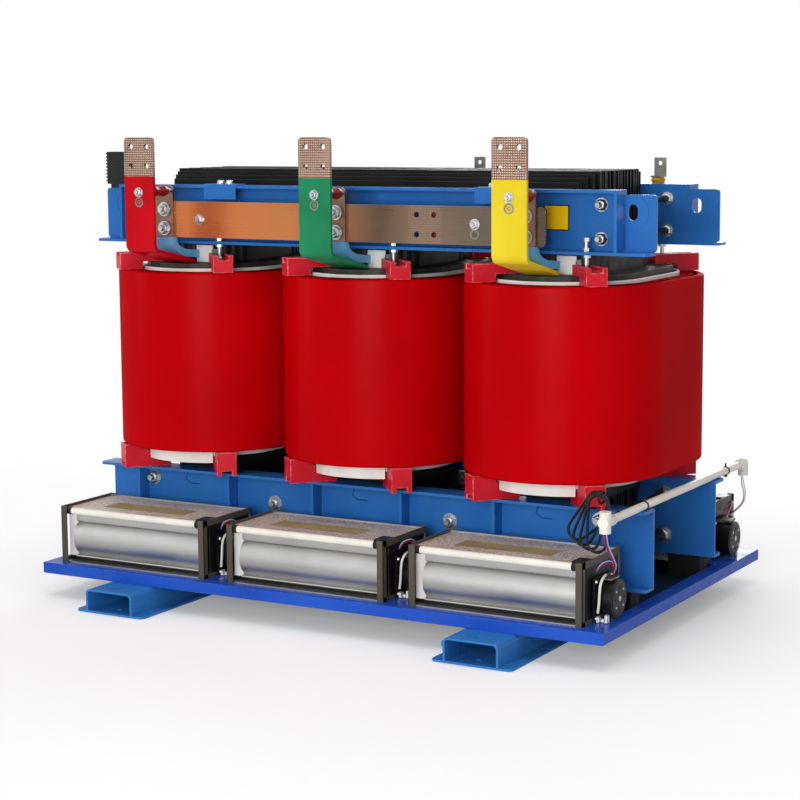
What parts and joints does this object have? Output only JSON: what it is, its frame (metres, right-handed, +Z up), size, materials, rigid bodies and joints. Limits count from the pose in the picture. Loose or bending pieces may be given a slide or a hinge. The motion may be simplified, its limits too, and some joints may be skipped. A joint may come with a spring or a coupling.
{
  "type": "cast-resin dry-type power transformer",
  "caption": "Three-phase dry-type power transformer with red cast-resin coils on a black core, blue clamps, coloured low-voltage bars and cooling blowers on a tray with runners.",
  "frame": {"origin": "middle of the base, on the floor under the runners", "axes": "+Z up, +X along the row of phases to the right seen from the low-voltage front, which is -Y"},
  "size_m": [1.796, 1.364, 1.34],
  "materials": {
    "runner_paint": "gloss blue enamel",
    "tray_paint": "gloss royal blue enamel",
    "floor_paint": "dull dark paint",
    "block_rubber": "matte black",
    "clamp_paint": "gloss blue enamel",
    "core_steel": "black varnished laminations",
    "coil_resin": "glossy red cast epoxy resin",
    "barrier_plastic": "white barrier sheet",
    "inner_resin": "dark resin",
    "pad_resin": "red moulding compound",
    "red_bar": "red enamel on copper",
    "green_bar": "green enamel on copper",
    "yellow_bar": "yellow enamel on copper",
    "lead_sleeve": "light blue enamel on copper",
    "copper": "bare polished copper",
    "support_resin": "moulded insulator",
    "blower_aluminium": "brushed",
    "motor_paint": "black paint",
    "rod_sleeve": "steel in black sleeve",
    "zinc": "zinc plated",
    "amber_resin": "amber epoxy",
    "flag_metal": "tinned plate",
    "conduit_pvc": "white rigid plastic",
    "box_plastic": "black moulded",
    "cable_jacket": "black jacket"
  },
  "bodies": {
    "root": {"runner_left": "runner_paint", "runner_right": "runner_paint", "tray_frame": "tray_paint", "tray_floor": "floor_paint", "support_blocks": "block_rubber", "core_top_yoke": "core_steel", "core_bottom_yoke": "core_steel", "core_legs": "core_steel", "barrier_cylinders": "barrier_plastic", "upper_pads": "pad_resin", "lower_pads": "pad_resin", "phase_bar_red": "red_bar", "phase_bar_green": "green_bar", "phase_bar_yellow": "yellow_bar", "neutral_leads": "lead_sleeve", "neutral_bar": "copper", "neutral_supports": "support_resin", "upper_tie_rods": "rod_sleeve", "lower_tie_rods": "rod_sleeve", "jack_bolts": "zinc", "lifting_lugs": "clamp_paint", "hv_brackets": "clamp_paint", "hv_insulators": "amber_resin", "hv_flags": "flag_metal", "conduit": "conduit_pvc", "terminal_box": "box_plastic", "cable_hank": "cable_jacket", "lower_clamp_front": "clamp_paint", "lower_clamp_back": "clamp_paint", "upper_clamp_front": "clamp_paint", "upper_clamp_back": "clamp_paint", "hv_coil_left": "coil_resin", "lv_coil_left": "inner_resin", "blower_front_left": "blower_aluminium", "motor_front_left": "motor_paint", "blower_back_left": "blower_aluminium", "motor_back_left": "motor_paint", "hv_coil_middle": "coil_resin", "lv_coil_middle": "inner_resin", "blower_front_middle": "blower_aluminium", "motor_front_middle": "motor_paint", "blower_back_middle": "blower_aluminium", "motor_back_middle": "motor_paint", "hv_coil_right": "coil_resin", "lv_coil_right": "inner_resin", "blower_front_right": "blower_aluminium", "motor_front_right": "motor_paint", "blower_back_right": "blower_aluminium", "motor_back_right": "motor_paint"}
  },
  "joints": []
}
